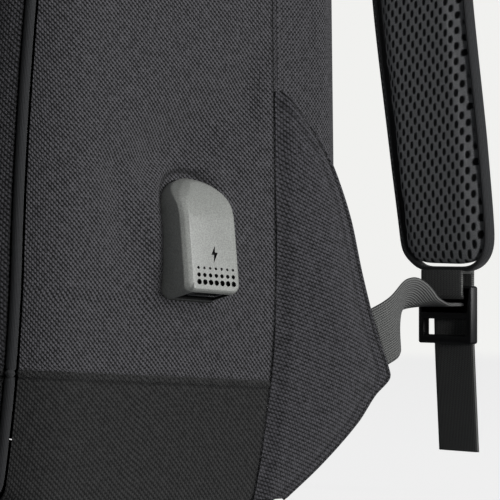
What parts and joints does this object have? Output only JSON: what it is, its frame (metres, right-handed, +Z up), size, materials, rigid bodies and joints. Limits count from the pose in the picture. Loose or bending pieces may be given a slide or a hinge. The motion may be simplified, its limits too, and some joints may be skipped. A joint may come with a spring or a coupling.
{
  "type": "laptop backpack",
  "caption": "Soft-sided laptop backpack that stands on its flat base, with padded shoulder straps, side wings, a grab handle and a charging port in its side.",
  "frame": {"origin": "middle of the flat base, in the plane that it stands on", "axes": "+Z up through the grab handle, +X to the side with the charging port, +Y to the wearer's back"},
  "size_m": [0.3196, 0.2561, 0.4778],
  "materials": {
    "heather_cloth": "dark grey heather plain weave, matt",
    "black_cloth": "black plain weave, matt",
    "air_mesh": "black open air mesh over padding",
    "grey_webbing": "grey ribbed webbing",
    "black_plastic": "black moulded, satin",
    "grey_plastic": "warm grey moulded, fine sparkle, satin",
    "socket_metal": "bright stamped shell",
    "slider_metal": "dark nickel"
  },
  "bodies": {
    "root": {"front_panel": "heather_cloth", "side_gusset": "heather_cloth", "rear_gusset": "heather_cloth", "wing_right": "heather_cloth", "wing_left": "heather_cloth", "front_band": "black_cloth", "base_gusset": "black_cloth", "front_piping": "black_cloth", "zip_tape": "black_cloth", "back_panel": "air_mesh", "shoulder_strap_right": "air_mesh", "shoulder_strap_left": "air_mesh", "strap_webbing_right": "grey_webbing", "strap_webbing_left": "grey_webbing", "strap_tab_right": "grey_webbing", "strap_tab_left": "grey_webbing", "grab_handle": "grey_webbing", "ladder_lock_right": "black_plastic", "ladder_lock_left": "black_plastic", "usb_tongue": "black_plastic", "usb_housing": "grey_plastic", "usb_socket": "socket_metal", "zip_slider_right": "slider_metal", "zip_slider_left": "slider_metal"}
  },
  "joints": []
}
